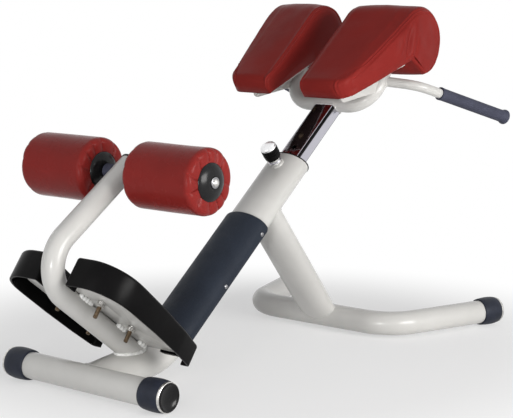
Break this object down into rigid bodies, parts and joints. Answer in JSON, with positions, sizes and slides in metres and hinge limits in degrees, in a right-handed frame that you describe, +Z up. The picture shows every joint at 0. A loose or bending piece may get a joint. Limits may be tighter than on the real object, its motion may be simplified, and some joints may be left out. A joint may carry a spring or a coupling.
{
  "type": "hyperextension bench",
  "caption": "Low exercise bench with split hip pads on a sliding chrome post, padded ankle rollers, moulded foot plates and side handles on a tube frame.",
  "frame": {"origin": "on the floor, at the middle of the bench's length and width", "axes": "+X forward, from the ankle rollers to the handles; +Y to the user's left; +Z up"},
  "size_m": [1.3683, 0.7062, 0.8296],
  "materials": {
    "frame_paint": "glossy light grey paint",
    "chrome": "bright chrome plate",
    "zinc": "zinc plate",
    "steel": "turned steel",
    "vinyl": "burgundy vinyl upholstery",
    "cover": "finely textured blue-black moulding",
    "black_plastic": "satin black moulding",
    "rubber": "blue-black rubber",
    "grip": "soft slate grip",
    "nylon": "white nylon"
  },
  "bodies": {
    "frame": {"ankle_axle": "steel", "ankle_post": "frame_paint", "ankle_post_plug": "black_plastic", "axle_bolt_left": "zinc", "axle_bolt_right": "zinc", "axle_spacer_left": "cover", "axle_spacer_right": "cover", "beam_cover": "cover", "foot_cap_front_left": "rubber", "foot_cap_front_right": "rubber", "foot_cap_rear_left": "rubber", "foot_cap_rear_right": "rubber", "foot_plate_bolt_left_front": "zinc", "foot_plate_bolt_left_rear": "zinc", "foot_plate_bolt_right_front": "zinc", "foot_plate_bolt_right_rear": "zinc", "foot_plate_bracket": "frame_paint", "foot_plate_left": "black_plastic", "foot_plate_right": "black_plastic", "front_base_tube": "frame_paint", "front_strut": "frame_paint", "guide_bush": "black_plastic", "main_beam": "frame_paint", "pin_housing": "nylon", "pin_ring": "chrome", "pin_spring": "steel", "rear_cross_tube": "frame_paint"},
    "post": {"chrome_post": "chrome", "post_shoe": "black_plastic", "cradle_tube": "frame_paint", "grip_left": "grip", "grip_right": "grip", "handle_tube_left": "frame_paint", "handle_tube_right": "frame_paint", "pad_bolt_left_front": "zinc", "pad_bolt_left_rear": "zinc", "pad_bolt_right_front": "zinc", "pad_bolt_right_rear": "zinc", "pad_left": "vinyl", "pad_plate_left": "frame_paint", "pad_plate_right": "frame_paint", "pad_right": "vinyl"},
    "pin": {"pull_pin": "steel", "knob": "black_plastic", "knob_cap": "zinc"},
    "roller_left": {"ankle_roller_left": "vinyl", "roller_core_left": "steel", "roller_cap_outer_left": "black_plastic", "roller_cap_inner_left": "black_plastic"},
    "roller_right": {"ankle_roller_right": "vinyl", "roller_core_right": "steel", "roller_cap_outer_right": "black_plastic", "roller_cap_inner_right": "black_plastic"}
  },
  "joints": [
    {"name": "post_slide", "type": "slide", "parent": "frame", "child": "post", "axis": [0.7804, 0, 0.6252], "range_m": [-0.078, 0.078]},
    {"name": "pin_pull", "type": "slide", "parent": "frame", "child": "pin", "axis": [-0.6252, 0, 0.7804], "range_m": [0, 0.012], "stiffness_N_per_m": 1200, "springref_m": -0.01, "deforming": ["pin_spring"]},
    {"name": "roller_left_spin", "type": "hinge", "parent": "frame", "child": "roller_left", "pos_m": [-0.4487, 0.1556, 0.4736], "axis": [0, 1, 0], "continuous": true},
    {"name": "roller_right_spin", "type": "hinge", "parent": "frame", "child": "roller_right", "pos_m": [-0.4487, -0.1556, 0.4736], "axis": [0, 1, 0], "continuous": true}
  ]
}
